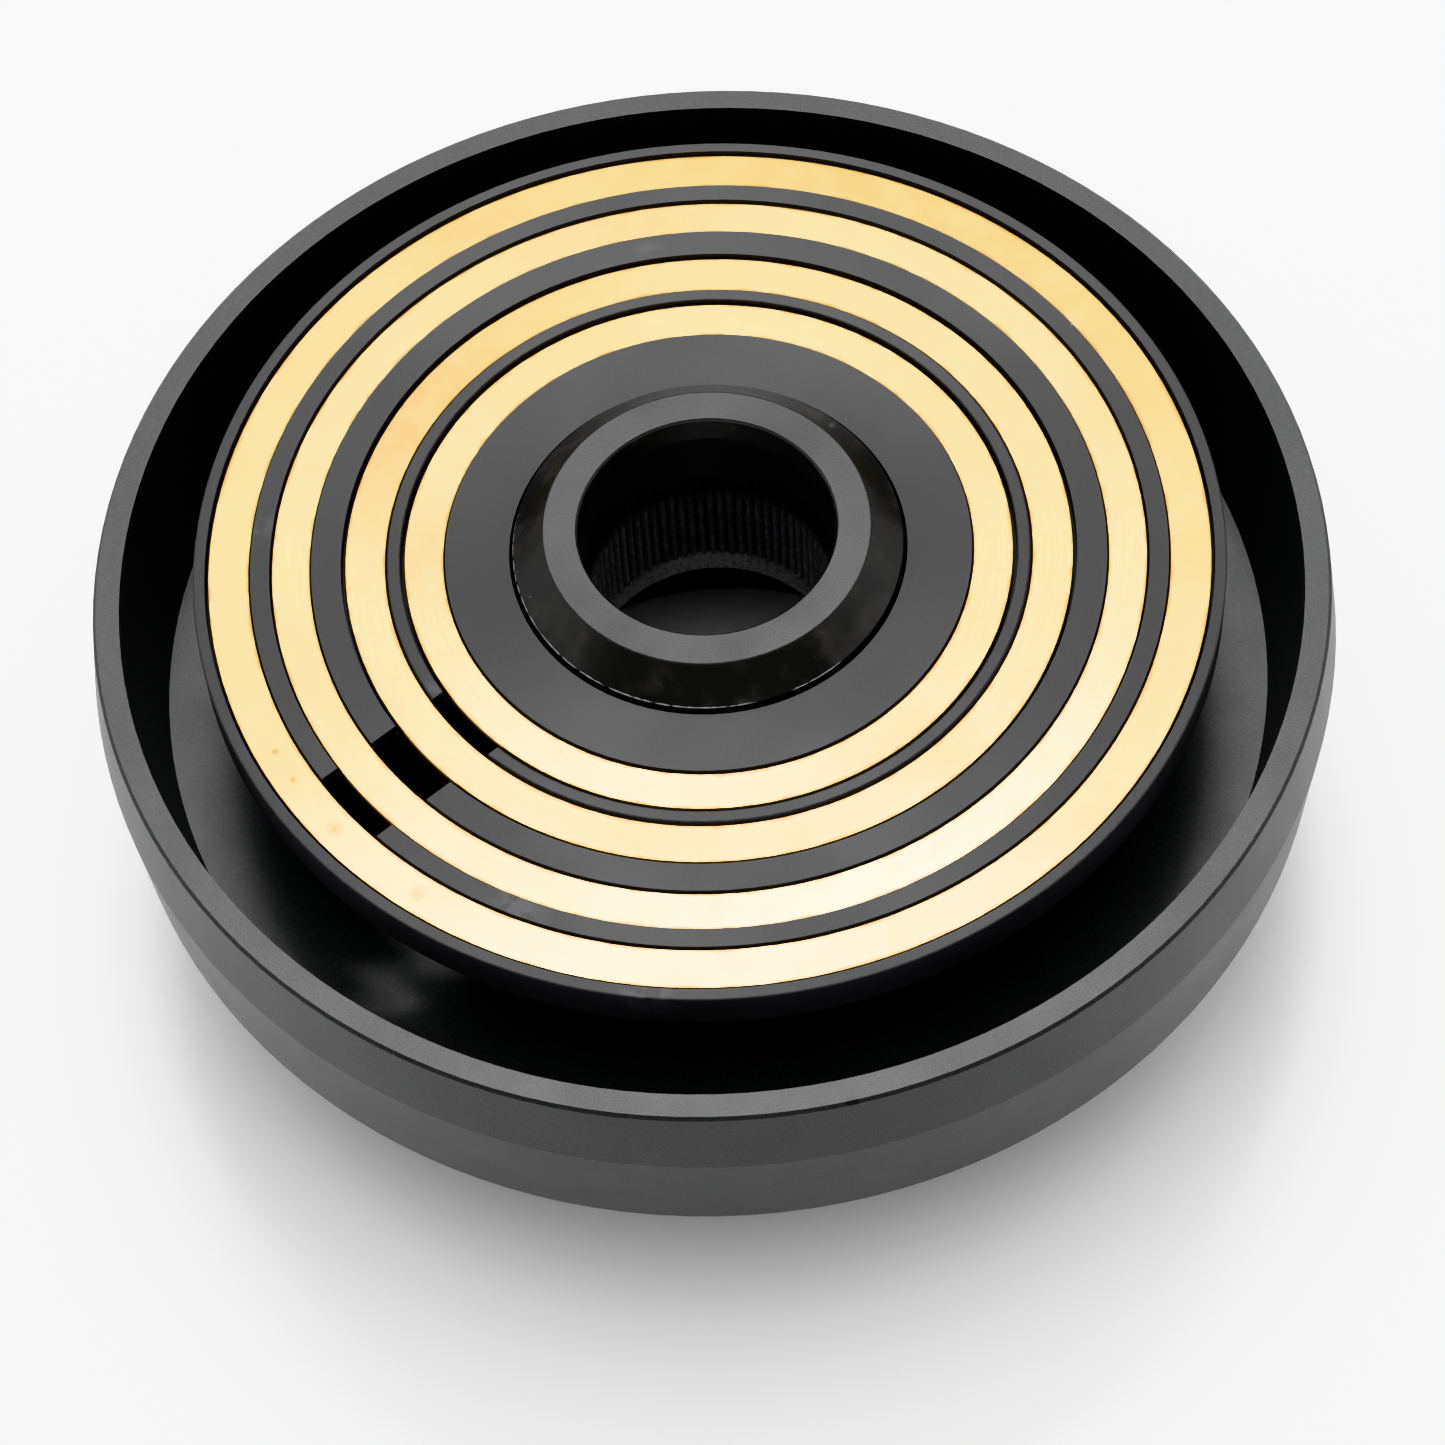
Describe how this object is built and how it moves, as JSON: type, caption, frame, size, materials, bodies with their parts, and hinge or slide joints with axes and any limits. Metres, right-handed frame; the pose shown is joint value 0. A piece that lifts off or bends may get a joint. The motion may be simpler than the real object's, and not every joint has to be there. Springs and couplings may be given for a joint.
{
  "type": "steering wheel hub adapter",
  "caption": "Round black steering wheel hub adapter: cup-shaped shroud, insulating disc with concentric brass horn contact tracks, and a chamfered nose with a serrated bore.",
  "frame": {"origin": "centre of the wheel face, the face that the adapter stands on and that bolts to the steering wheel", "axes": "+Z along the steering axis towards the steering column; the lead window under the tracks lies at 142.9 degrees clockwise from +X, seen from above"},
  "size_m": [0.1178, 0.1178, 0.05],
  "materials": {
    "black_anodised_aluminium": "satin black anodised, finely turned",
    "black_oxide_steel": "black oxide",
    "bright_steel": "zinc plated",
    "moulded_insulator": "satin moulded thermoset",
    "fibre_sheet": "matt vulcanised fibre",
    "contact_brass": "finely turned, lightly tarnished at the edges",
    "black_rubber": "matt"
  },
  "bodies": {
    "root": {"hub_core": "black_anodised_aluminium", "shroud_cup": "black_anodised_aluminium", "spline_sleeve": "black_oxide_steel", "sleeve_key_pins": "bright_steel", "sleeve_circlip": "black_oxide_steel", "wheel_thread_inserts": "bright_steel", "cup_screws": "bright_steel", "cup_dowels": "bright_steel", "insulating_sheet": "fibre_sheet", "ring_carrier": "moulded_insulator", "carrier_screws": "black_oxide_steel", "lead_grommet": "black_rubber", "contact_ring_1": "contact_brass", "ring_1_studs": "contact_brass", "ring_1_terminal": "contact_brass", "contact_ring_2": "contact_brass", "ring_2_studs": "contact_brass", "ring_2_terminal": "contact_brass", "contact_ring_3": "contact_brass", "ring_3_studs": "contact_brass", "ring_3_terminal": "contact_brass", "contact_ring_4": "contact_brass", "ring_4_studs": "contact_brass", "ring_4_terminal": "contact_brass"}
  },
  "joints": []
}
